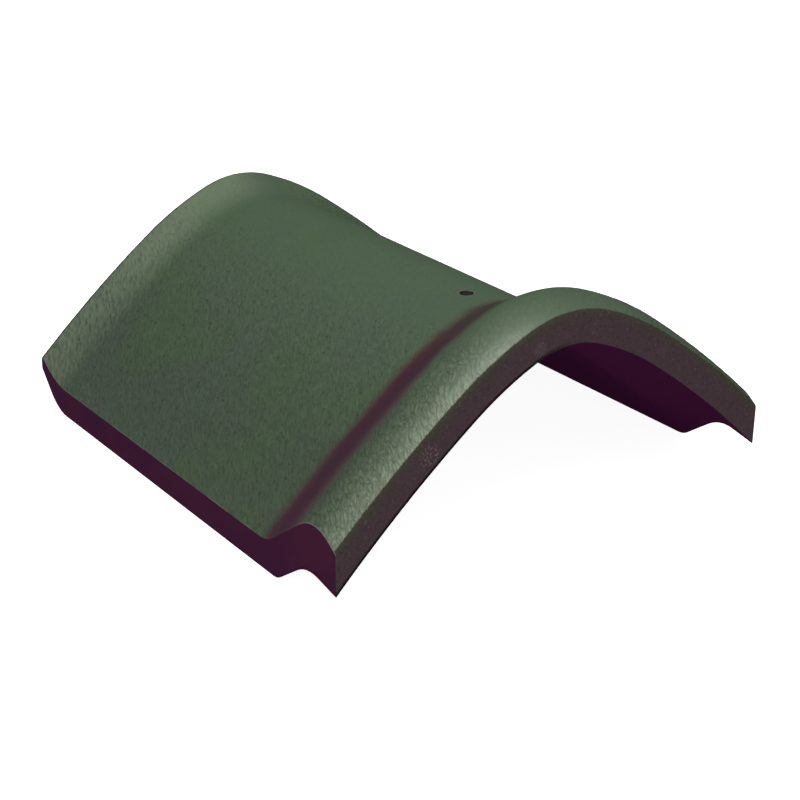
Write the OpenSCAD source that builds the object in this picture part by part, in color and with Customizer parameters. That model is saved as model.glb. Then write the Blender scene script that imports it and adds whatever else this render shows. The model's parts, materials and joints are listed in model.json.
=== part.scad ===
// Ridge tile, moulded in one piece. It straddles the apex of a roof: an arched plate of even
// thickness, with a lip turned up at its tail and a raised collar at its head. The recess beneath
// the collar laps over the tail of the next tile, and one screw through the ridge holds the tile.
//
// Millimetres. X runs along the ridge from the tail to the head, Y across it, and Z is up.
// The origin is the centre of the tile's footprint, in the plane it stands on.
//
// The tile is one outline, drawn along the ridge and set square to the plate all round the arch.
// Heights in the outline are measured from the plate's underside, square to the plate.

/* [Tile] */
// Overall length along the ridge
tile_l = 373; // [300:1:460]
// Overall width between the two side faces
tile_w = 330; // [265:1:400]
// Thickness of the plate
plate_t = 15; // [12:0.5:20]

/* [Arch] */
// Radius of the plate's underside over the ridge
ridge_r = 48; // [38:1:60]
// Slope of the plate where the ridge bend ends, in degrees
ridge_slope = 21; // [16:0.5:26]
// Radius of the plate's underside on the shoulders
shoulder_r = 195; // [150:5:240]
// Slope of the plate where the shoulders end, in degrees
shoulder_slope = 35.5; // [29:0.5:43]
// Radius of the plate's underside on the long legs
leg_r = 810; // [650:10:1200]

/* [Tail lip] */
// Height of the lip's top corner
lip_h = 27; // [22:0.5:33]
// Thickness of the lip's blunt end
lip_end_t = 9; // [7:0.5:11]
// Distance from the tail end at which the lip's top leaves the plate
lip_top_l = 21; // [17:0.5:26]
// Distance from the tail end at which the lip's underside leaves the plate
lip_under_l = 21.5; // [17:0.5:26]
// Radius of the hollow on top, between plate and lip
lip_top_r = 60; // [20:1:72]
// Radius of the bend beneath, between plate and lip
lip_under_r = 36; // [15:1:44]
// Radius of the lip's two end corners
lip_nose_r = 3.2; // [1:0.1:3.8]

/* [Collar] */
// Distance from the head end at which the collar rises from the plate
collar_l = 72; // [60:1:90]
// Distance from the head end to the collar's crest
crest_back = 21; // [17:1:26]
// Height of the crest, where the collar's two slopes meet before rounding
crest_h = 43; // [36:0.5:52]
// Height of the top edge of the head, before rounding
head_h = 32; // [27:0.5:38]
// Radius of the groove between plate and collar
groove_r = 36; // [15:1:45]
// Radius over the collar's crest
crest_r = 32; // [12:1:39]
// Radius of the top edge of the head
head_edge_r = 2; // [1:0.5:6]

/* [Recess under the collar] */
// How far nearer the head than the collar's rise the recess starts
recess_lag = 10; // [6:0.5:14]
// Distance from the head end to the deepest part of the recess
recess_back = 30; // [25:1:36]
// Height of the recess, where its two slopes meet before rounding
recess_h = 16.5; // [13.5:0.5:20]
// Height of the rim at the head end, beneath the end face
rim_h = 12; // [8:0.5:15]
// Radius of the shoulder where the recess starts
recess_edge_r = 19; // [5:1:24]
// Radius of the roof of the recess
recess_r = 34; // [12:1:42]
// Radius of the rim's edge
rim_edge_r = 1; // [0.5:0.5:2.5]

/* [Screw hole] */
// Diameter of the hole through the ridge
hole_d = 9; // [5:0.5:12]
// Distance from the hole's axis to where the collar rises
hole_gap = 25; // [15:1:50]

/* [Hidden] */
half_w = tile_w / 2;
collar_x = tile_l - collar_l;
hole_x = collar_x - hole_gap;
// How far a flat facet may stand off the true curve along the ridge, and round the arch
outline_gap = 0.05;
arch_gap = 0.1;
// How far cutting shapes run past the surface they cut
past = 1;
// Highest point that the outline reaches
outline_top = max(crest_h, lip_h);

// Facets on a curve of this radius over this turn
function facets(radius, turn, gap) = max(2, ceil(turn / (2 * acos(1 - gap / radius))));

// Centres of the arch's three bends on the +Y side, as [y, z] with z = 0 at the ridge
function outward(slope) = [sin(slope), cos(slope)];
ridge_centre = [0, -ridge_r];
shoulder_centre = ridge_centre + (ridge_r - shoulder_r) * outward(ridge_slope);
leg_centre = shoulder_centre + (shoulder_r - leg_r) * outward(shoulder_slope);

// Slope and height at which the plate's underside meets the side face
foot_slope = asin((half_w - leg_centre[0]) / leg_r);
foot_z = leg_centre[1] + leg_r * cos(foot_slope);
// Slope to which the legs are swept before the side faces cut them
swept_slope = asin((half_w + past - leg_centre[0]) / leg_r);

// Corners of the outline, as [x, height, radius]: over the top from tail to head, then back beneath
corners = [
    [0, lip_h, lip_nose_r],
    [lip_top_l, plate_t, lip_top_r],
    [collar_x, plate_t, groove_r],
    [tile_l - crest_back, crest_h, crest_r],
    [tile_l, head_h, head_edge_r],
    [tile_l, rim_h, rim_edge_r],
    [tile_l - recess_back, recess_h, recess_r],
    [collar_x + recess_lag, 0, recess_edge_r],
    [lip_under_l, 0, lip_under_r],
    [0, lip_h - lip_end_t, lip_nose_r]
];
corner_count = len(corners);
function corner(i) = corners[(i + corner_count) % corner_count];
function at(i) = [corner(i)[0], corner(i)[1]];
function unit(v) = v / norm(v);
function to_last(i) = unit(at(i - 1) - at(i));
function to_next(i) = unit(at(i + 1) - at(i));
function half_angle(i) = acos(to_last(i) * to_next(i)) / 2;

// Length that a corner's rounding takes from each side, and the share of it that both sides have room for
function taken(i) = corner(i)[2] / tan(half_angle(i));
function room(i) = norm(at(i + 1) - at(i)) / (taken(i) + taken(i + 1));
function share(i) = min(1, room(i), room(i - 1));

// Points round one corner
function bearing(v) = atan2(v[1], v[0]);
function half_turn(angle) = angle > 180 ? angle - 360 : angle < -180 ? angle + 360 : angle;
function rounded(i) =
    let (
        radius = corner(i)[2] * share(i),
        tangent = taken(i) * share(i),
        centre = at(i) + unit(to_last(i) + to_next(i)) * radius / sin(half_angle(i)),
        start = bearing(at(i) + to_last(i) * tangent - centre),
        finish = bearing(at(i) + to_next(i) * tangent - centre),
        turn = half_turn(finish - start),
        steps = facets(radius, abs(turn), outline_gap)
    )
    [for (k = [0:steps]) let (t = start + turn * k / steps) centre + radius * [cos(t), sin(t)]];
outline = [for (i = [0:corner_count - 1]) each rounded(i)];

// Slopes of the plate at which the outline is set, from one side face to the other
function spread(from, to, radius) =
    let (n = facets(radius + outline_top, to - from, arch_gap))
    [for (i = [1:n]) from + (to - from) * i / n];
side_slopes = concat(
    spread(0, ridge_slope, ridge_r),
    spread(ridge_slope, shoulder_slope, shoulder_r),
    spread(shoulder_slope, swept_slope, leg_r)
);
slopes = concat([for (i = [len(side_slopes) - 1:-1:0]) -side_slopes[i]], [0], side_slopes);

// A point of the outline where the plate has this slope. The two sides are alike.
function bend_centre(steep) =
    steep <= ridge_slope ? ridge_centre : steep <= shoulder_slope ? shoulder_centre : leg_centre;
function bend_radius(steep) =
    steep <= ridge_slope ? ridge_r : steep <= shoulder_slope ? shoulder_r : leg_r;
function placed(point, slope) =
    let (
        steep = abs(slope),
        yz = bend_centre(steep) + (bend_radius(steep) + point[1]) * outward(steep)
    )
    [point[0], sign(slope) * yz[0], yz[1]];

// The outline swept over the whole arch. Each end closes on a tip outside the side faces.
module swept_plate() {
    ring = len(outline);
    rings = len(slopes);
    beyond = plate_t * [0, cos(swept_slope), -sin(swept_slope)];
    tip = placed([tile_l / 2, plate_t / 2], swept_slope) + beyond;
    points = concat(
        [for (slope = slopes) each [for (p = outline) placed(p, slope)]],
        [[tip[0], -tip[1], tip[2]], tip]
    );
    first_tip = ring * rings;
    last_ring = ring * (rings - 1);
    faces = concat(
        [
            for (k = [0:rings - 2], i = [0:ring - 1])
                let (a = k * ring + i, b = k * ring + (i + 1) % ring)
                each [[a, b + ring, b], [a, a + ring, b + ring]]
        ],
        [for (i = [0:ring - 1]) [i, (i + 1) % ring, first_tip]],
        [for (i = [0:ring - 1]) [last_ring + (i + 1) % ring, last_ring + i, first_tip + 1]]
    );
    polyhedron(points, faces);
}

// Everything between the two upright side faces
module between_side_faces() {
    translate([-past, -half_w, foot_z - past])
        cube([tile_l + 2 * past, tile_w, outline_top - foot_z + 2 * past]);
}

module screw_hole() {
    translate([hole_x, 0, -ridge_r])
        cylinder(d = hole_d, h = ridge_r + outline_top, $fn = 64);
}

module ridge_tile() {
    color([0.25, 0.31, 0.26])
        translate([-tile_l / 2, 0, -foot_z])
            difference() {
                intersection() {
                    swept_plate();
                    between_side_faces();
                }
                screw_hole();
            }
}

ridge_tile();
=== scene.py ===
"""Ridge tile: the finished tile, its coating and the studio it lies in.

Lengths are millimetres, as in the CAD, and x counts from the tail's end. The mesh, the studio and
the camera are in metres, in the shared frame, whose x counts from the tile's middle.
The tile is one closed mesh. Its outline, drawn along the ridge, is set square to the plate at many
places round the arch. Its arrises are rounded, the screw hole is open, and a leather-like relief is
pressed into the coated face, always inwards, so that the tile keeps its size.
"""

import json
from functools import reduce
from math import ceil, cos, inf, pi, radians, sin

import bpy
import numpy as np
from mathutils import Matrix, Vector
from mathutils.geometry import delaunay_2d_cdt


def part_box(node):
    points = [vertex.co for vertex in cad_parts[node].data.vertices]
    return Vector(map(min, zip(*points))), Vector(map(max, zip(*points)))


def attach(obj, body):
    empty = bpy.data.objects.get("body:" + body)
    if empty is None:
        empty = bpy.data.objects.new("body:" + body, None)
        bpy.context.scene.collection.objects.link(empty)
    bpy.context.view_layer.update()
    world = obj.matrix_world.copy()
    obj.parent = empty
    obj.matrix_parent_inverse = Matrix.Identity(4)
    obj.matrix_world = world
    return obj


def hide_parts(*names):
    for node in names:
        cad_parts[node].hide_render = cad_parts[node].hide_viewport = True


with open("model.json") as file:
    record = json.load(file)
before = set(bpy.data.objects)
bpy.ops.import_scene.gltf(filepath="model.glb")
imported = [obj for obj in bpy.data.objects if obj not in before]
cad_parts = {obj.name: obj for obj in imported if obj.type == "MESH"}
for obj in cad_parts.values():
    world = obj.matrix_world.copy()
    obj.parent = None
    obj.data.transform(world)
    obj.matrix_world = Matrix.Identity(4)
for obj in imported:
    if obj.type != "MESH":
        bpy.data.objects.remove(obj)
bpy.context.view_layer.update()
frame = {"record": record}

MM = 0.001
NODE = "ridge_tile"
SEED = 7
cad_low, cad_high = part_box(NODE)
hole = next(m for m in frame["record"]["mounts"] if m["name"] == "screw_hole")

# ---------------------------------------------------------------- sizes of the tile

TILE_L = (cad_high.x - cad_low.x) / MM
HALF_W = (cad_high.y - cad_low.y) / MM / 2
PLATE_T = 15
RIDGE_R, RIDGE_SLOPE = 48, 21
SHOULDER_R, SHOULDER_SLOPE = 195, 35.5
LEG_R = 810
LIP_H, LIP_END_T, LIP_TOP_L, LIP_UNDER_L = 27, 9, 21, 21.5
COLLAR_X = TILE_L - 72
CREST_BACK, CREST_H, HEAD_H, RIM_H = 21, 43, 32, 12
RECESS_LAG, RECESS_BACK, RECESS_H = 10, 30, 16.5
HOLE_R = hole["dims"]["r_mm"]
HOLE_X = hole["pos_m"][0] / MM + TILE_L / 2

# Corners of the outline, as (x, height, radius): over the top from tail to head, then back beneath
CORNERS = [
    (0, LIP_H, 3.2),
    (LIP_TOP_L, PLATE_T, 60),
    (COLLAR_X, PLATE_T, 36),
    (TILE_L - CREST_BACK, CREST_H, 32),
    (TILE_L, HEAD_H, 2),
    (TILE_L, RIM_H, 1),
    (TILE_L - RECESS_BACK, RECESS_H, 34),
    (COLLAR_X + RECESS_LAG, 0, 19),
    (LIP_UNDER_L, 0, 36),
    (0, LIP_H - LIP_END_T, 3.2),
]
# The coated face runs from the first of these corners to the second, the head's end face from there
# to the third, the underside on to the fourth, and the tail's end face from there back to the first
TAIL_EDGE, HEAD_EDGE, HEAD_RIM, TAIL_RIM = 0, 4, 5, 9

# Distance between mesh points on the coated face, on the end faces and beneath
FINE, END, COARSE = 1.65, 1.6, 4.5
# Largest turn between two mesh points on a rounded corner
CORNER_TURN = radians(16)
# Gaps from the side face to the three rows next to it
LAST_GAPS = (1.0, 0.55, 0.25)


# ---------------------------------------------------------------- outline along the ridge

def unit(v):
    return v / np.linalg.norm(v, axis=-1, keepdims=True)


def outline():
    """Points (x, height) of the closed outline, and the index where each corner's middle falls."""
    at = np.array([c[:2] for c in CORNERS], float)
    radius = np.array([c[2] for c in CORNERS], float)
    back = unit(np.roll(at, 1, 0) - at)
    on = unit(np.roll(at, -1, 0) - at)
    half = np.arccos(np.clip((back * on).sum(1), -1, 1)) / 2
    tangent = radius / np.tan(half)
    points, middles = [], []
    for i in range(len(CORNERS)):
        step = FINE if i <= HEAD_EDGE else END if i in (HEAD_RIM, TAIL_RIM) else COARSE
        centre = at[i] + unit(back[i] + on[i]) * radius[i] / np.sin(half[i])
        start = at[i] + back[i] * tangent[i] - centre
        finish = at[i] + on[i] * tangent[i] - centre
        first = np.arctan2(start[1], start[0])
        turn = (np.arctan2(finish[1], finish[0]) - first + pi) % (2 * pi) - pi
        half_steps = ceil(max(abs(turn) * radius[i] / step, abs(turn) / CORNER_TURN) / 2)
        steps = 2 * max(1, half_steps)
        angles = first + turn * np.arange(steps + 1) / steps
        middles.append(len(points) + steps // 2)
        points += list(centre + radius[i] * np.column_stack([np.cos(angles), np.sin(angles)]))
        j = (i + 1) % len(CORNERS)
        line = at[j] + back[j] * tangent[j] - points[-1]
        step = FINE if i < HEAD_EDGE else COARSE if HEAD_RIM <= i < TAIL_RIM else END
        pieces = max(1, ceil(np.linalg.norm(line) / step))
        points += [points[-1] + line * k / pieces for k in range(1, pieces)]
    return np.array(points), middles


ring, middles = outline()
RING = len(ring)
ring_tangent = unit(np.roll(ring, -1, 0) - np.roll(ring, 1, 0))
ring_normal = np.column_stack([-ring_tangent[:, 1], ring_tangent[:, 0]])
ring_run = np.concatenate([[0], np.cumsum(np.linalg.norm(np.diff(ring, axis=0), axis=1))])

# The points of the outline that are on each face
on_ring = np.arange(RING)
coated = on_ring <= middles[HEAD_EDGE]
head_face = (on_ring > middles[HEAD_EDGE]) & (on_ring <= middles[HEAD_RIM])
tail_face = on_ring > middles[TAIL_RIM]
beneath = ~(coated | head_face | tail_face)


# ---------------------------------------------------------------- the arch

def outward(slope):
    return np.array([np.sin(slope), np.cos(slope)])


RIDGE_TURN, SHOULDER_TURN = radians(RIDGE_SLOPE), radians(SHOULDER_SLOPE)
RIDGE_C = np.array([0.0, -RIDGE_R])
SHOULDER_C = RIDGE_C + (RIDGE_R - SHOULDER_R) * outward(RIDGE_TURN)
LEG_C = SHOULDER_C + (SHOULDER_R - LEG_R) * outward(SHOULDER_TURN)
FOOT_Z = LEG_C[1] + LEG_R * cos(np.arcsin((HALF_W - LEG_C[0]) / LEG_R))
# The bends of one side, as (centre, radius, first slope, last slope). The last bend has no last
# slope of its own, as it ends at the side face
BENDS = [
    (RIDGE_C, RIDGE_R, 0.0, RIDGE_TURN),
    (SHOULDER_C, SHOULDER_R, RIDGE_TURN, SHOULDER_TURN),
    (LEG_C, LEG_R, SHOULDER_TURN, None),
]


def bend_slopes(bend, height):
    """First and last slope of a bend, at this height above the plate's underside."""
    centre, radius, first, last = BENDS[bend]
    if last is None:
        last = np.arcsin((HALF_W - centre[0]) / (radius + height))
    return first, last


def on_arch(height, bend, share):
    """(y, z) and slope at this height above the plate's underside, this far through a bend."""
    centre, radius = BENDS[bend][:2]
    first, last = bend_slopes(bend, height)
    slope = first + (last - first) * share
    y = centre[0] + (radius + height) * np.sin(slope)
    z = centre[1] + (radius + height) * np.cos(slope) - FOOT_Z
    return y, z, slope


def side_rows():
    """The rows of one side, from the ridge to the side face, as (bend, share)."""
    rows = []
    for bend in range(len(BENDS)):
        first, last = bend_slopes(bend, PLATE_T)
        length = (BENDS[bend][1] + PLATE_T) * (last - first)
        steps = ceil(length / FINE)
        shares = list(np.arange(1, steps + 1) / steps)
        if bend == len(BENDS) - 1:
            shares = shares[:-1] + [1 - gap / length for gap in LAST_GAPS] + [1.0]
        rows += [(bend, share) for share in shares]
    return rows


one_side = side_rows()
rows = [(-1, *row) for row in reversed(one_side)] + [(1, 0, 0.0)] + [(1, *row) for row in one_side]
ROWS = len(rows)

points = np.zeros((ROWS, RING, 3))
normals = np.zeros((ROWS, RING, 3))
plate_y, plate_z = np.zeros(ROWS), np.zeros(ROWS)
for k, (side, bend, share) in enumerate(rows):
    y, z, slope = on_arch(ring[:, 1], bend, share)
    points[k] = np.column_stack([ring[:, 0], side * y, z])
    sideways, upright = ring_normal[:, 1] * np.sin(slope), ring_normal[:, 1] * np.cos(slope)
    normals[k] = np.column_stack([ring_normal[:, 0], side * sideways, upright])
    y, z, _ = on_arch(PLATE_T, bend, share)
    plate_y[k], plate_z[k] = side * y, z

# Distance round the arch from the ridge, on the plate's top. It's negative on the near side
row_run = np.concatenate([[0], np.cumsum(np.hypot(np.diff(plate_y), np.diff(plate_z)))])
row_run -= row_run[ROWS // 2]


# ---------------------------------------------------------------- relief pressed into the surface

# Random values each way before a random field repeats
TABLE = 256

# The grain leans up the slope and towards the tail
GRAIN_LEAN = radians(49)
# Width of the grain's pebbles, their length in widths, and the width of their creases in widths
PEBBLE, STRETCH, CREASE = 3.9, 1.9, 0.55
# How far the grain's lines wander, and the size of the lumps that they wander in
WANDER, WANDER_SIZE = 3, 11
# Depth of the creases, and what is added low on the legs, on the collar's nose and low on the nose
DEPTH, LEG_DEPTH, NOSE_DEPTH, LOW_NOSE_DEPTH = 0.07, 0.06, 0.05, 0.17
# Distances from the ridge between which a leg becomes low, and where the nose starts and is full
LOW_FROM, LOW_TO = 12, 90
NOSE_FROM, NOSE_TO = COLLAR_X + 34, TILE_L - 14
# Soft swells under the grain
SWELL_DEPTH, SWELL_SIZE = 0.10, 23
# The end faces: a drag texture, drawn out round the arch, and pits that come in patches
DRAG_DEPTH, DRAG_SIZE, DRAG_STRETCH = 0.06, 2.6, 3
PIT_DEPTH, PIT_SIZE, PATCH_SIZE = 0.28, 2.9, 30
# Random values between which a pit deepens, and between which a patch fills with pits
PIT_LEVELS, PATCH_LEVELS = (0.74, 0.92), (0.45, 0.7)
# The underside's swells
UNDER_DEPTH, UNDER_SIZE = 0.12, 14
# The relief fades out towards the side faces, between these distances from them
FADED, FULL = 0.3, 3


def smooth(low, high, value):
    t = np.clip((value - low) / (high - low), 0, 1)
    return t * t * (3 - 2 * t)


def lumps(a, b, size, seed):
    """Smooth random field from 0 to 1 with lumps of about this size."""
    a, b = a / size, b / size
    table = np.random.default_rng(seed).random((TABLE + 1, TABLE + 1))
    i, j = np.floor(a).astype(int), np.floor(b).astype(int)
    s, t = smooth(0, 1, a - i), smooth(0, 1, b - j)
    i, j = i % TABLE, j % TABLE
    first = table[i, j] * (1 - s) + table[i + 1, j] * s
    second = table[i, j + 1] * (1 - s) + table[i + 1, j + 1] * s
    return first * (1 - t) + second * t


def pebbles(a, b, size, seed):
    """Leather grain: 0 in the creases between pebbles of about this size, 1 on their crowns."""
    a, b = a / size, b / size
    shift = np.random.default_rng(seed).random((TABLE + 1, TABLE + 1, 2))
    i, j = np.floor(a).astype(int), np.floor(b).astype(int)
    nearest, second = np.full(a.shape, inf), np.full(a.shape, inf)
    for di in (-1, 0, 1):
        for dj in (-1, 0, 1):
            seat = shift[(i + di) % TABLE, (j + dj) % TABLE]
            gap = np.hypot(i + di + seat[..., 0] - a, j + dj + seat[..., 1] - b)
            second = np.minimum(second, np.maximum(nearest, gap))
            nearest = np.minimum(nearest, gap)
    return smooth(0, CREASE, second - nearest)


def relief(run, arch, x):
    """Depth pressed into the coated face: deepest low on the collar's nose."""
    a = run * cos(GRAIN_LEAN) + arch * sin(GRAIN_LEAN)
    b = arch * cos(GRAIN_LEAN) - run * sin(GRAIN_LEAN)
    wander = WANDER * lumps(a, b, WANDER_SIZE, SEED)
    grain = pebbles(a + wander, (b + wander) / STRETCH, PEBBLE, SEED + 1)
    swell = lumps(run, arch, SWELL_SIZE, SEED + 2)
    low_leg = smooth(LOW_FROM, LOW_TO, np.abs(arch))
    nose = smooth(NOSE_FROM, NOSE_TO, x)
    depth = DEPTH + LEG_DEPTH * low_leg + nose * (NOSE_DEPTH + LOW_NOSE_DEPTH * low_leg)
    return depth * (1 - grain) + SWELL_DEPTH * (1 - swell)


def end_relief(arch, height):
    """Depth pressed into the end faces."""
    drag = lumps(arch / DRAG_STRETCH, height, DRAG_SIZE, SEED + 3)
    pits = smooth(*PIT_LEVELS, lumps(arch, height, PIT_SIZE, SEED + 4))
    patches = smooth(*PATCH_LEVELS, lumps(arch, height, PATCH_SIZE, SEED + 5))
    return DRAG_DEPTH * drag + PIT_DEPTH * (pits * patches)


run = np.broadcast_to(ring_run, (ROWS, RING))
arch = np.broadcast_to(row_run[:, None], (ROWS, RING))
depth = np.zeros((ROWS, RING))
depth[:, coated] = relief(run[:, coated], arch[:, coated], points[:, coated, 0])
for face in (head_face, tail_face):
    depth[:, face] = end_relief(arch[:, face], points[:, face, 2])
under_lumps = lumps(points[:, beneath, 0], arch[:, beneath], UNDER_SIZE, SEED + 6)
depth[:, beneath] = UNDER_DEPTH * under_lumps
from_side = np.minimum(row_run - row_run[0], row_run[-1] - row_run)
depth *= smooth(FADED, FULL, from_side)[:, None]


# ---------------------------------------------------------------- rounded arrises at the side faces

# How far the rounding reaches from the arris: on the coated face, at the two ends and beneath
REACH_TOP, REACH_END, REACH_UNDER = 0.55, 0.5, 0.35
# Near the tail's tip it reaches further: this far up to the first x here, and as elsewhere from the
# second on
REACH_TIP, TIP_FULL, TIP_END = 0.9, 3, 15
# Height above which the tail's end face is part of the tip
TIP_LOW = 20
# At a corner of the outline it reaches no further than this share of the corner's radius, or of the
# distance from the corner's middle where that's more
CORNER_SHARE = 0.5
# How many times the reach is evened out along the outline
EVENED = 2
# Rows that the rounding can reach, counted from the side face
ROUNDED_ROWS = 8


def arris_reach():
    """How far the rounding reaches at each point of the outline."""
    reach = np.where(coated, REACH_TOP, np.where(beneath, REACH_UNDER, REACH_END))
    near_tip = 1 - smooth(TIP_FULL, TIP_END, ring[:, 0])
    tip = coated | (tail_face & (ring[:, 1] > TIP_LOW))
    reach = np.where(tip, reach + (REACH_TIP - REACH_TOP) * near_tip, reach)
    for _ in range(EVENED):
        reach = (np.roll(reach, 1) + 2 * reach + np.roll(reach, -1)) / 4
    for corner in (TAIL_EDGE, HEAD_EDGE, HEAD_RIM, TAIL_RIM):
        radius = CORNERS[corner][2]
        apart = np.hypot(*(ring - ring[middles[corner]]).T)
        reach = np.minimum(reach, CORNER_SHARE * np.maximum(radius, apart))
    return reach


reach = arris_reach()


def rounded_arris(p, arris, normal, side):
    """Moves points near an arris on to the cylinder that rounds it. One for each ring point."""
    side_normal = np.array([0.0, side, 0.0])
    cosine = (normal @ side_normal)[:, None]
    radius = reach[:, None] / np.sqrt((1 - cosine) / (1 + cosine))
    axis = unit(np.cross(normal, side_normal))
    centre = arris - radius * (normal + side_normal) / (1 + cosine)
    w = p - centre
    along = (w * axis).sum(1, keepdims=True) * axis
    across = w - along
    beyond_face = (across * (side_normal - cosine * normal)).sum(1) > 0
    beyond_side = (across * (normal - cosine * side_normal)).sum(1) > 0
    length = np.linalg.norm(across, axis=1)
    moved = beyond_face & beyond_side & (length > radius[:, 0])
    return np.where(moved[:, None], centre + along + radius * across / length[:, None], p)


arrises = {-1: (0, points[0].copy()), 1: (ROWS - 1, points[-1].copy())}
points = points - normals * depth[:, :, None]
for side, (last_row, arris) in arrises.items():
    for k in range(ROWS):
        if abs(k - last_row) <= ROUNDED_ROWS:
            points[k] = rounded_arris(points[k], arris, normals[last_row], side)

# ---------------------------------------------------------------- the mesh

vertices = [points.reshape(-1, 3)]
count = ROWS * RING
grid = np.arange(count).reshape(ROWS, RING)
after = np.roll(np.arange(RING), -1)

# Values kept at each point, in millimetres, for the material:
# past_head, past_tail: distance along the outline beyond the edge where the coat ends
# past_side: distance beyond the rounded arris, on to the side face
# above_foot: height on a side face above its lower arris. Below 0 it means inside the screw hole
# grain: distance along the outline and round the arch
FAR = 60.0
# On the underside past_head is the head face's height and this more, and past_tail is this
UNDER_PAST_HEAD, UNDER_PAST_TAIL = 10, 12
# About the distance from the outline's last point back to its first
CLOSING = 1
run_head, run_tail = ring_run[middles[HEAD_EDGE]], ring_run[middles[TAIL_EDGE]]
face_height = ring_run[middles[HEAD_RIM]] - run_head
past_head = np.where(beneath, face_height + UNDER_PAST_HEAD, ring_run - run_head)
past_head[tail_face] = -FAR
to_last = ring_run[-1] - ring_run
past_tail = np.where(tail_face, to_last + run_tail + CLOSING, run_tail - ring_run)
past_tail[beneath] = UNDER_PAST_TAIL
values = {
    "past_head": [np.tile(past_head, ROWS)],
    "past_tail": [np.tile(past_tail, ROWS)],
    "past_side": [(-from_side[:, None] - reach[None, :]).ravel()],
    "above_foot": [np.full(count, FAR)],
    "grain": [np.column_stack([run.ravel(), arch.ravel(), np.zeros(count)])],
}


def add_points(p, **given):
    """Adds points with their values and returns their indices. A value not given is far away."""
    global count
    p = np.asarray(p, float)
    vertices.append(p)
    for name, parts in values.items():
        blank = np.zeros((len(p), 3)) if name == "grain" else np.full(len(p), FAR)
        parts.append(np.broadcast_to(given.get(name, blank), blank.shape))
    count += len(p)
    return np.arange(count - len(p), count)


# Openings left in the grid for the screw hole, on top and beneath, as first and last row and first
# and last ring point
HOLE_MARGIN = 3.4
hole_rows = [k for k in range(ROWS) if abs(plate_y[k]) <= HOLE_R + HOLE_MARGIN]
near_hole = np.abs(ring[:, 0] - HOLE_X) <= HOLE_R + HOLE_MARGIN
windows = []
for part in (coated, beneath):
    inside = np.flatnonzero(near_hole & part)
    windows.append((hole_rows[0], hole_rows[-1], inside[0] - 1, inside[-1] + 1))

faces = []
keep = np.ones((ROWS - 1, RING), bool)
for k0, k1, i0, i1 in windows:
    keep[k0:k1, i0:i1] = False
k, i = np.nonzero(keep)
quads = [grid[k, i], grid[k, after[i]], grid[k + 1, after[i]], grid[k + 1, i]]
faces += np.column_stack(quads).tolist()

# The loops of a side face, as (share of the reach, further share). The first three finish the
# rounded arris, and inside the fourth the face is filled flat
SIDE_LOOPS = ((1 / 3, 0), (2 / 3, 0), (1, 0), (1, 0.4))
# What past_side gains over a further share of 1
BEYOND_RATE = 2
# The kind of output by which delaunay_2d_cdt gives only the triangles inside, and the distance at
# which it joins points
INSIDE_ONLY, JOIN = 1, 1e-7

for side, (last_row, arris) in arrises.items():
    flow = unit(np.roll(arris, -1, 0) - np.roll(arris, 1, 0))
    inward = np.column_stack([flow[:, 2], np.zeros(RING), -flow[:, 0]])
    foot_x, foot_z = ring[beneath][::-1, 0], arris[beneath][::-1, 2]
    foot_height = arris[:, 2] - np.interp(ring[:, 0], foot_x, foot_z)
    grain = np.column_stack([ring_run, np.full(RING, row_run[last_row]), np.zeros(RING)])
    loop = grid[last_row]
    for part, extra in SIDE_LOOPS:
        inset = reach * (part + extra)
        p = rounded_arris(arris + inward * inset[:, None], arris, normals[last_row], side)
        inner = add_points(
            p,
            past_head=past_head,
            past_tail=past_tail,
            past_side=inset - reach + BEYOND_RATE * extra,
            above_foot=foot_height,
            grain=grain,
        )
        quads = [loop, inner, inner[after], loop[after]]
        faces += np.column_stack(quads if side < 0 else quads[::-1]).tolist()
        loop = inner
    flat = [Vector((x, z)) for x, z in p[:, [0, 2]]]
    filled = delaunay_2d_cdt(flat, [], [list(range(RING))], INSIDE_ONLY, JOIN)
    at, triangles, given = filled[0], filled[2], filled[3]
    for triangle in triangles:
        a, b, c = (at[t] for t in triangle)
        upward = (b - a).cross(c - a) > 0
        order = triangle if upward == (side < 0) else triangle[::-1]
        faces.append([int(loop[given[t][0]]) for t in order])


# The screw hole: a rim that rolls in from each face, and a plain wall. The rings of the rim are
# given as (distance out from the wall, depth below the face)
HOLE_POINTS = 48
RIM = ((1.3, 0.0), (0.9, 0.0), (0.25, 0.0), (0.06, 0.08), (0.0, 0.3), (0.0, 6.0))
# The rings nearer the wall than this have past_side at the pale line, and the others off it
# The pale line is partly rubbed coat and partly painted highlight
PALE_RIM, AT_PALE_LINE, OFF_PALE_LINE = 1, -0.4, -4
# The rings deeper than this have above_foot inside the hole
WALL_DEPTH, IN_HOLE = 0.2, -10
# What past_head is on the hole's lower rings
BENEATH_HOLE = 30
bearing = 2 * pi * np.arange(HOLE_POINTS) / HOLE_POINTS


def face_level(y, height):
    """Height of a face of the plate, near the ridge, this far from its underside."""
    return RIDGE_C[1] + np.sqrt((RIDGE_R + height) ** 2 - y**2) - FOOT_Z


def hole_ring(radius, sink, height):
    """Adds a ring of points round the hole, sunk from a face of the plate at this height."""
    x, y = HOLE_X + radius * np.cos(bearing), radius * np.sin(bearing)
    along = np.interp(x, ring[coated, 0], ring_run[coated])
    round_arch = np.interp(y, plate_y, row_run)
    upper, deep = height > 0, abs(sink) > WALL_DEPTH
    return add_points(
        np.column_stack([x, y, face_level(y, height) + sink]),
        past_head=-FAR if upper else BENEATH_HOLE,
        past_tail=-FAR,
        past_side=AT_PALE_LINE if upper and radius < HOLE_R + PALE_RIM else OFF_PALE_LINE,
        above_foot=IN_HOLE if deep else FAR,
        grain=np.column_stack([along, round_arch, np.zeros(HOLE_POINTS)]),
    )


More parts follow.
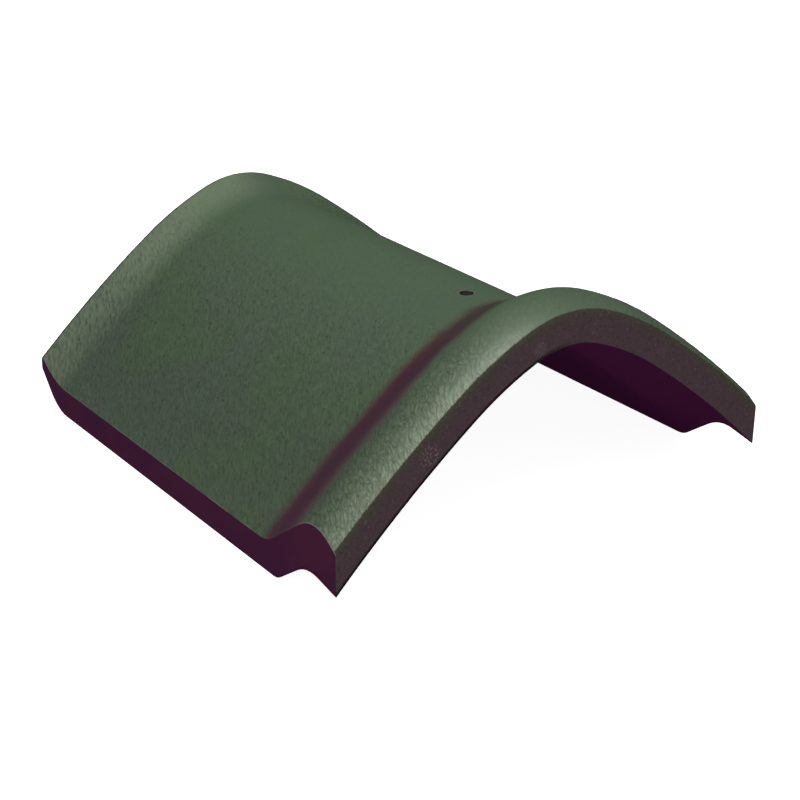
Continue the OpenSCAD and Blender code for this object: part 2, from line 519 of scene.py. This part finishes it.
def zipped(outer, inner, upward):
    """Triangles between two closed loops round the hole, matched by bearing from its middle."""
    place = np.concatenate(vertices)
    middle = np.array([HOLE_X, 0.0])

    def turned(loop):
        angle = np.arctan2(*(place[loop][:, :2] - middle).T[::-1]) % (2 * pi)
        order = np.argsort(angle)
        return np.asarray(loop)[order], angle[order]

    def upcoming(angle, i):
        """Bearing of the loop's next point, counted on past the full turn."""
        turns, following = divmod(i + 1, len(angle))
        return angle[following] + 2 * pi * turns if i < len(angle) else inf

    (a, a_at), (b, b_at) = turned(outer), turned(inner)
    made, i, j = [], 0, 0
    while i < len(a) or j < len(b):
        here_a, here_b = a[i % len(a)], b[j % len(b)]
        if upcoming(a_at, i) <= upcoming(b_at, j):
            i += 1
            made.append([here_a, a[i % len(a)], here_b])
        else:
            j += 1
            made.append([here_a, b[j % len(b)], here_b])
    return [[int(v) for v in (t if upward else t[::-1])] for t in made]


wall = []
for (k0, k1, i0, i1), height, inwards in zip(windows, (PLATE_T, 0), (-1, 1)):
    sides = [grid[k0, i0:i1], grid[k0:k1, i1], grid[k1, i1:i0:-1], grid[k1:k0:-1, i0]]
    rims = [hole_ring(HOLE_R + out, inwards * sink, height) for out, sink in RIM]
    faces += zipped(np.concatenate(sides), rims[0], height > 0)
    wall += rims if height > 0 else rims[::-1]
turn = np.roll(np.arange(HOLE_POINTS), -1)
for upper, lower in zip(wall[:-1], wall[1:]):
    faces += np.column_stack([upper, upper[turn], lower[turn], lower]).tolist()

# Points inside the hole's openings belong to no face, and go
used = np.unique(np.concatenate([np.asarray(face) for face in faces]))
renumbered = np.zeros(count, int)
renumbered[used] = np.arange(len(used))
co = np.concatenate(vertices)[used]
co[:, 0] -= TILE_L / 2
mesh = bpy.data.meshes.new("ridge_tile_finished")
mesh.from_pydata((co * MM).tolist(), [], [renumbered[face].tolist() for face in faces])
mesh.polygons.foreach_set("use_smooth", np.ones(len(mesh.polygons), bool))
for name, parts in values.items():
    data = np.concatenate(parts)[used].astype(np.float32)
    kind, field = ("FLOAT_VECTOR", "vector") if name == "grain" else ("FLOAT", "value")
    mesh.attributes.new(name, kind, "POINT").data.foreach_set(field, data.ravel())
tile = bpy.data.objects.new("ridge_tile_finished", mesh)
bpy.context.scene.collection.objects.link(tile)


# ---------------------------------------------------------------- material

def srgb(red, green, blue):
    """Linear colour from the 0 to 255 values of a screen colour."""
    parts = [c / 255 for c in (red, green, blue)]
    return [c / 12.92 if c <= 0.04045 else ((c + 0.055) / 1.055) ** 2.4 for c in parts] + [1.0]


# The coat: painted light over the ridge and shade at the foot, painted highlight, two kinds of
# faint blotch
COAT_LIT_AT_RIDGE, COAT_SHADED_AT_FOOT = srgb(80, 97, 77), srgb(70, 82, 68)
COAT_HIGHLIGHT = srgb(120, 134, 110)
COAT_LEAFY, COAT_GREY = srgb(70, 94, 56), srgb(76, 82, 80)
# Painted shade along the groove: its two tones, towards the tail and the head, and over the ridge
GROOVE_SHADE_DARK, GROOVE_SHADE_LIGHT = srgb(65, 43, 56), srgb(72, 51, 60)
GROOVE_SHADE_TO_TAIL, GROOVE_SHADE_TO_HEAD = srgb(82, 48, 52), srgb(82, 74, 74)
GROOVE_SHADE_AT_RIDGE = srgb(60, 52, 50)
# The uncoated body: the two shades of the side faces, and the underside
BODY_MAROON, BODY_RED = srgb(60, 28, 52), srgb(65, 30, 50)
UNDERSIDE = srgb(56, 19, 48)
# The end faces: two shades, the coat's overspray, dark and light grains, and chips and scratches
END_DARK, END_LIGHT = srgb(64, 50, 56), srgb(70, 58, 61)
OVERSPRAY = srgb(62, 60, 51)
GRAIN_DARK, GRAIN_LIGHT = srgb(51, 38, 43), srgb(98, 85, 89)
CHIPPED = srgb(118, 104, 108)
# Pale arrises, partly rubbed coat and partly painted highlight, and the dark of painted shade
ARRIS_RUBBED_AND_HIGHLIT = srgb(112, 104, 106)
PAINTED_SHADE = srgb(22, 17, 20)

# The two ends, in millimetres from the tile's middle
HEAD_X, TAIL_X = TILE_L / 2, -TILE_L / 2
# Where the groove shade comes in towards the tail and goes out towards the head, from the middle
# too
GROOVE_SHADE_IN, GROOVE_SHADE_OUT = (106, 119), (144, 161)
# Middle and radius of the chips and of the scratches on the head's end face
CHIPS = (HEAD_X, -101, 86), 9
SCRATCHES = (HEAD_X, -23, 131), 6
SCRATCH_SLANT = (0, 0.71, -0.71)
# Depth of the fine relief, in metres
BUMP_DEPTH = 0.5 * MM


class Nodes:
    """Short ways to add linked nodes. A value is a number, a colour or another node's output."""

    def __init__(self, tree):
        self.tree = tree

    def add(self, kind, inputs=(), out=0, **settings):
        node = self.tree.nodes.new(kind)
        for name, value in settings.items():
            setattr(node, name, value)
        for name, value in dict(inputs).items():
            if isinstance(value, bpy.types.NodeSocket):
                self.tree.links.new(value, node.inputs[name])
            else:
                node.inputs[name].default_value = value
        return node.outputs[out]

    def math(self, operation, a, b=0.0):
        return self.add("ShaderNodeMath", {0: a, 1: b}, operation=operation)

    def plus(self, a, b):
        return self.math("ADD", a, b)

    def minus(self, a, b):
        return self.math("SUBTRACT", a, b)

    def times(self, *values):
        return reduce(lambda a, b: self.math("MULTIPLY", a, b), values)

    def highest(self, *values):
        return reduce(lambda a, b: self.math("MAXIMUM", a, b), values)

    def step(self, value, low, high, from_value=0.0, to_value=1.0):
        """Smooth change from from_value to to_value as value goes from low to high."""
        inputs = {
            "Value": value,
            "From Min": low,
            "From Max": high,
            "To Min": from_value,
            "To Max": to_value,
        }
        return self.add("ShaderNodeMapRange", inputs, interpolation_type="SMOOTHSTEP")

    def within(self, value, rise, full, fade, end, top=1.0):
        """0 up to rise, 1 from full to fade, 0 from end on, times top."""
        return self.times(self.step(value, rise, full), self.step(value, fade, end, top, 0))

    def mix(self, factor, a, b):
        """The colour a where factor is 0 and b where it's 1."""
        return self.add("ShaderNodeMix", {0: factor, 6: a, 7: b}, out=2, data_type="RGBA")

    def blend(self, factor, a, b):
        """The number a where factor is 0 and b where it's 1."""
        return self.add("ShaderNodeMix", {0: factor, 2: a, 3: b}, out=0, data_type="FLOAT")

    def noise(self, vector, scale, detail=2.0, roughness=0.5):
        inputs = {"Vector": vector, "Scale": scale, "Detail": detail, "Roughness": roughness}
        return self.add("ShaderNodeTexNoise", inputs)

    def edge_distance(self, vector):
        """Distance to the nearest edge between random cells of about one unit."""
        inputs = {"Vector": vector, "Scale": 1}
        return self.add("ShaderNodeTexVoronoi", inputs, feature="DISTANCE_TO_EDGE")

    def along_grain(self, vector, width, length):
        """Coordinates in which one unit is this wide across the grain and this long along it."""
        inputs = {"Vector": vector, "Rotation": (0, 0, GRAIN_LEAN), "Scale": (width, length, 1)}
        return self.add("ShaderNodeMapping", inputs, vector_type="TEXTURE")

    def near(self, vector, centre, radius):
        """1 within half this distance of a place, falling to 0 at the distance. Millimetres."""
        inputs = {0: vector, 1: tuple(c * MM for c in centre)}
        distance = self.add("ShaderNodeVectorMath", inputs, out=1, operation="DISTANCE")
        return self.step(distance, radius * MM / 2, radius * MM, 1, 0)

    def attribute(self, name, out="Fac"):
        node = self.tree.nodes.new("ShaderNodeAttribute")
        node.attribute_name = name
        return node.outputs[out]


def tile_material():
    material = bpy.data.materials.new("tile_body_finished")
    material.use_nodes = True
    tree = material.node_tree
    tree.nodes.clear()
    n = Nodes(tree)

    # Where things are: x from the tile's middle, arch from the ridge, in millimetres
    place = n.add("ShaderNodeTexCoord", out="Object")
    x = n.times(n.add("ShaderNodeSeparateXYZ", {0: place}, out=0), 1 / MM)
    grain = n.attribute("grain", "Vector")
    arch = n.add("ShaderNodeSeparateXYZ", {0: grain}, out=1)
    away = n.math("ABSOLUTE", arch)
    past_head, past_tail = n.attribute("past_head"), n.attribute("past_tail")
    past_side, above_foot = n.attribute("past_side"), n.attribute("above_foot")
    ragged = n.noise(place, 900, 3)
    jag = n.times(n.minus(ragged, 0.5), 1.6)

    coat = n.times(
        n.step(n.plus(past_head, jag), -2.1, -1.3, 1, 0),
        n.step(n.plus(past_tail, jag), -0.2, 0.5, 1, 0),
        n.step(n.plus(past_side, n.times(jag, 0.3)), -0.15, 0.15, 1, 0),
    )
    on_side = n.step(past_side, -0.1, 0.1)
    off_side = n.minus(1, on_side)
    on_head = n.within(past_head, -2.6, -2, 19.5, 20.5)
    on_tail = n.within(past_tail, 0, 0.5, 9, 10)
    on_end = n.times(n.highest(on_head, on_tail), off_side)
    on_near_side = n.step(arch, -40, 20, 1, 0)
    low_leg = n.step(away, 15, 85)
    round_hole = n.step(away, 7, 9, 1, 0)
    in_hole = n.step(above_foot, -9, -1, 1, 0)
    lip = n.step(x, TAIL_X + 8, TAIL_X + 43, 1, 0)
    nose_range = {"Value": x, "From Min": HEAD_X - 28, "From Max": HEAD_X - 3}
    nose = n.add("ShaderNodeMapRange", nose_range)
    collar = n.step(x, HEAD_X - 36, HEAD_X - 14)

    # Painted shade along the groove before the collar, a dark maroon strip. It thins out over the
    # ridge
    wander = n.times(n.minus(n.noise(place, 42, 3, 0.6), 0.5), 11)
    across = n.plus(x, wander)
    near_ridge = n.step(away, 0, 80, 0.65, 0)
    inset = n.step(away, 0, 110, 9, 0)
    groove_shade = n.times(
        n.step(across, *GROOVE_SHADE_IN),
        n.step(n.plus(across, inset), *GROOVE_SHADE_OUT, 1, 0),
        n.step(away, 0, 80, 0.8, 1),
    )

    # Leather grain: streaks up the slope, and broad pebbles with creases on the collar
    sway_inputs = {"Vector": grain, "Scale": 0.06, "Detail": 1.0}
    sway = n.add("ShaderNodeTexNoise", sway_inputs, out="Color")
    swayed = n.add("ShaderNodeVectorMath", {0: sway, "Scale": 8}, operation="SCALE")
    swayed = n.add("ShaderNodeVectorMath", {0: grain, 1: swayed}, operation="ADD")
    long_streaks = n.minus(n.noise(n.along_grain(swayed, 2.0, 9.5), 1, 1, 0.4), 0.5)
    short_streaks = n.times(n.minus(n.noise(n.along_grain(grain, 1.5, 4.5), 1, 0), 0.5), 0.6)
    rough_lip = n.times(lip, n.step(arch, -150, -50, 1, 0))
    streaked = n.times(
        n.plus(0.25, n.times(low_leg, 0.75)),
        n.plus(0.9, n.times(rough_lip, 0.8)),
    )
    streaks = n.times(n.plus(short_streaks, long_streaks), streaked)
    softer = n.times(
        n.step(x, HEAD_X - 16, HEAD_X - 6),
        n.step(away, 115, 160, 0.45, 0.1),
    )
    creases = n.times(
        n.step(n.edge_distance(n.along_grain(swayed, 3.6, 7.5)), 0, 0.33, 1, 0),
        collar,
        n.step(low_leg, 0, 1, 0.3, 1),
        n.minus(1, softer),
    )

    # The coat: painted light and shade, a painted highlight on the lip and nose, blotched, streaked
    # and specked
    # Painted light: the coat is lighter over the ridge and darker towards the foot
    green = n.mix(n.step(away, 0, 170), COAT_LIT_AT_RIDGE, COAT_SHADED_AT_FOOT)
    # Painted highlight on the lip and the nose, strongest on the near side
    lip_highlight = n.times(n.step(arch, -150, -60, 0.4, 0.6), n.step(arch, -15, 30, 1, 0.1))
    nose_highlight = n.times(n.step(arch, -150, -60, 0.7, 0.75), n.step(arch, -50, 5, 1, 0.1))
    painted_highlight = n.highest(n.times(lip, lip_highlight), n.times(nose, nose_highlight))
    green = n.mix(painted_highlight, green, COAT_HIGHLIGHT)
    blotch = n.noise(place, 14, 2, 0.5)
    green = n.mix(n.step(blotch, 0.5, 0.62, 0, 0.16), green, COAT_LEAFY)
    green = n.mix(n.step(blotch, 0.38, 0.5, 0.16, 0), green, COAT_GREY)
    # Painted light and shade of the relief: the coat lighter along the streaks, darker in the
    # creases
    shade = n.minus(n.plus(1.04, n.times(streaks, 0.6)), n.times(creases, 0.3))
    specks = n.times(
        n.step(n.noise(place, 480, 0), 0.67, 0.75, 0, 0.22),
        n.step(low_leg, 0, 1, 0.35, 1),
    )
    shaded = {"Value": n.minus(shade, specks), "Color": green}
    green = n.add("ShaderNodeHueSaturation", shaded)

    # Colour of the painted shade in the groove
    groove = n.mix(n.noise(place, 60, 3), GROOVE_SHADE_DARK, GROOVE_SHADE_LIGHT)
    reddish = n.times(n.step(across, 117, 129, 0.6, 0), n.step(away, 60, 130, 1, 0.35))
    groove = n.mix(reddish, groove, GROOVE_SHADE_TO_TAIL)
    groove = n.mix(n.step(across, 134, 152, 0, 0.65), groove, GROOVE_SHADE_TO_HEAD)
    groove = n.mix(near_ridge, groove, GROOVE_SHADE_AT_RIDGE)
    face = n.mix(groove_shade, green, groove)

    # The uncoated body, and the gritty end faces with overspray at the coat's edge
    tint = n.noise(place, 28, 2)
    body = n.mix(n.step(tint, 0.35, 0.65), BODY_MAROON, BODY_RED)
    body = n.mix(n.step(past_head, 24, 28), body, UNDERSIDE)
    end = n.mix(n.noise(place, 70, 4, 0.65), END_DARK, END_LIGHT)
    overspray = n.step(n.plus(past_head, n.times(jag, 3)), 0, 6, 0.9, 0)
    end = n.mix(overspray, end, OVERSPRAY)
    grains = n.noise(place, 500, 2, 0.6)
    end = n.mix(n.step(grains, 0.3, 0.5, 0.42, 0), end, GRAIN_DARK)
    end = n.mix(n.step(grains, 0.6, 0.75, 0, 0.4), end, GRAIN_LIGHT)
    chips = n.times(n.near(place, *CHIPS), n.step(n.noise(place, 800, 0), 0.58, 0.66))
    slant_inputs = {0: place, 1: SCRATCH_SLANT}
    slant = n.add("ShaderNodeVectorMath", slant_inputs, out=1, operation="DOT_PRODUCT")
    waves = n.plus(n.times(slant, 3500), n.times(n.noise(place, 150, 0), 6))
    scratches = n.times(n.near(place, *SCRATCHES), n.step(n.math("SINE", waves), 0.7, 0.95))
    end = n.mix(n.times(n.highest(chips, scratches), 0.55), end, CHIPPED)
    body = n.mix(on_end, body, end)
    colour = n.mix(coat, body, face)

    # Pale arris line, partly rubbed and partly painted highlight; painted highlight on the tail's
    # tips
    patchy = n.step(n.noise(place, 60, 2), 0.45, 0.6, 0.1, 0.7)
    patchy = n.highest(patchy, n.times(round_hole, 0.45))
    rubbed_and_highlit = n.times(
        n.within(past_side, -0.9, -0.4, 0.1, 0.3),
        n.step(n.highest(past_head, past_tail), -0.5, 0.5, 1, 0),
        n.highest(n.step(x, 118, 140), lip, patchy),
        n.minus(1, groove_shade),
    )
    # Painted highlight on the tail's rounded tips
    from_tip = n.plus(n.times(past_tail, -0.45), n.times(past_side, -1))
    tip = n.times(n.step(n.plus(from_tip, jag), 2.5, 6.5, 0.8, 0), coat)
    colour = n.mix(n.highest(rubbed_and_highlit, tip), colour, ARRIS_RUBBED_AND_HIGHLIT)

    # Painted shade on the lower arrises, the head's lower rim on the near side, the lip's edge and
    # in the hole
    foot_shade = n.times(n.step(past_side, -0.7, 0.1, 0.8, 0), n.step(above_foot, 0.3, 1.5, 1, 0))
    rim_shade = n.times(n.within(past_head, 16.4, 18.2, 21.2, 22), off_side, on_near_side)
    lip_shade = n.times(n.within(past_tail, -2.9, -1.2, 0.3, 1.8, top=0.85), off_side)
    hole_shade = n.times(in_hole, n.step(n.noise(place, 260, 1), 0.4, 0.6, 0.55, 0.85))
    colour = n.mix(n.highest(foot_shade, rim_shade, lip_shade, hole_shade), colour, PAINTED_SHADE)

    # Fine relief: the grain on the coat, grit where the body is bare
    grit = n.noise(place, 1500, 2)
    coat_height = n.minus(n.times(streaks, 1.3), n.times(creases, 0.8))
    bare_height = n.plus(n.times(grains, 0.7), n.times(grit, 0.3))
    height = n.blend(coat, bare_height, coat_height)
    bump_inputs = {"Strength": 0.8, "Distance": BUMP_DEPTH, "Height": height}
    bump = n.add("ShaderNodeBump", bump_inputs)

    coat_rough = n.step(streaks, -0.2, 0.2, 0.5, 0.62)
    bare_rough = n.step(ragged, 0.2, 0.8, 0.75, 0.9)
    roughness = n.blend(coat, bare_rough, coat_rough)
    shine = n.times(coat, nose, nose, on_near_side, 0.8)

    shader = tree.nodes.new("ShaderNodeBsdfPrincipled")
    # The matt body has no gloss of its own. What gloss there is comes from the coat weight
    shader.inputs["Specular IOR Level"].default_value = 0.0
    shader.inputs["Coat Roughness"].default_value = 0.4
    shader.inputs["Coat IOR"].default_value = 1.45
    tree.links.new(shine, shader.inputs["Coat Weight"])
    tree.links.new(bump, shader.inputs["Coat Normal"])
    tree.links.new(colour, shader.inputs["Base Color"])
    tree.links.new(roughness, shader.inputs["Roughness"])
    tree.links.new(bump, shader.inputs["Normal"])
    output = tree.nodes.new("ShaderNodeOutputMaterial")
    tree.links.new(shader.outputs[0], output.inputs["Surface"])
    return material


mesh.materials.append(tile_material())
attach(tile, "root")
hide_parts(NODE)

# ---------------------------------------------------------------- studio

# Side of the square floor, in metres
FLOOR_SIZE = 6.0
FLOOR_GREY = 0.8
# Strength of the light that the floor gives off, and how white the floor is shown
FLOOR_GLOW = 0.4
FLOOR_SHOWN = 0.93
# Strength of the light from all round, and how white the surroundings are shown
WORLD_GLOW = 0.4
WORLD_SHOWN = 1.0
# The one lamp is square. It's aimed at the middle of the tile, at this height in metres
KEY_AIM_HEIGHT = 0.08
# Where it stands as seen from there, its distance and side in metres, and its power in watts
KEY_DIRECTION = (0.33, -0.2, 0.92)
KEY_DISTANCE, KEY_SIZE, KEY_POWER = 2.0, 0.9, 24


def background_light(tree, strength, shown):
    """Strength of a light, but shown for camera, glossy and glass rays, which see plain white."""
    path = tree.nodes.new("ShaderNodeLightPath")
    n = Nodes(tree)
    rays = ("Is Camera Ray", "Is Glossy Ray", "Is Transmission Ray")
    seen = n.highest(*(path.outputs[ray] for ray in rays))
    return n.blend(seen, strength, shown)


half = FLOOR_SIZE / 2
floor_corners = [(-half, -half, 0), (half, -half, 0), (half, half, 0), (-half, half, 0)]
floor_mesh = bpy.data.meshes.new("floor")
floor_mesh.from_pydata(floor_corners, [], [(0, 1, 2, 3)])
floor = bpy.data.objects.new("floor", floor_mesh)
bpy.context.scene.collection.objects.link(floor)
floor_material = bpy.data.materials.new("floor")
floor_material.use_nodes = True
floor_nodes = floor_material.node_tree
floor_shader = floor_nodes.nodes["Principled BSDF"]
floor_shader.inputs["Base Color"].default_value = (FLOOR_GREY, FLOOR_GREY, FLOOR_GREY, 1)
floor_shader.inputs["Roughness"].default_value = 0.9
floor_shader.inputs["Specular IOR Level"].default_value = 0.0
floor_shader.inputs["Emission Color"].default_value = (1, 1, 1, 1)
floor_light = background_light(floor_nodes, FLOOR_GLOW, FLOOR_SHOWN)
floor_nodes.links.new(floor_light, floor_shader.inputs["Emission Strength"])
floor_mesh.materials.append(floor_material)

world = bpy.data.worlds.new("studio")
bpy.context.scene.world = world
world.use_nodes = True
world_nodes = world.node_tree
background = world_nodes.nodes["Background"]
background.inputs["Color"].default_value = (1, 1, 1, 1)
world_light = background_light(world_nodes, WORLD_GLOW, WORLD_SHOWN)
world_nodes.links.new(world_light, background.inputs["Strength"])

lamp = bpy.data.lights.new("key", "AREA")
lamp.size, lamp.energy = KEY_SIZE, KEY_POWER
key = bpy.data.objects.new("key", lamp)
aim = Vector(KEY_DIRECTION).normalized()
key.location = Vector((0, 0, KEY_AIM_HEIGHT)) + aim * KEY_DISTANCE
key.rotation_euler = (-aim).to_track_quat("-Z", "Y").to_euler()
bpy.context.scene.collection.objects.link(key)

# ---------------------------------------------------------------- camera

# The photograph's viewing angle, from a camera fitted to the tile's edges. Lengths are in metres
AZIMUTH, ELEVATION = radians(53.853), radians(24.498)
LOOK_AT = Vector((0.01944, 0.00029, 0.03152))
DISTANCE = 1.1303
# The camera's own sizes, in millimetres
SENSOR_WIDTH, LENS = 36, 75.545

camera_data = bpy.data.cameras.new("camera")
camera_data.sensor_width = SENSOR_WIDTH
camera_data.lens = LENS
camera = bpy.data.objects.new("camera", camera_data)
bpy.context.scene.collection.objects.link(camera)
level = cos(ELEVATION)
forward = Vector((-sin(AZIMUTH) * level, cos(AZIMUTH) * level, -sin(ELEVATION)))
camera.location = LOOK_AT - forward * DISTANCE
camera.rotation_euler = forward.to_track_quat("-Z", "Y").to_euler()
bpy.context.scene.camera = camera

bpy.context.scene.view_settings.view_transform = "Standard"
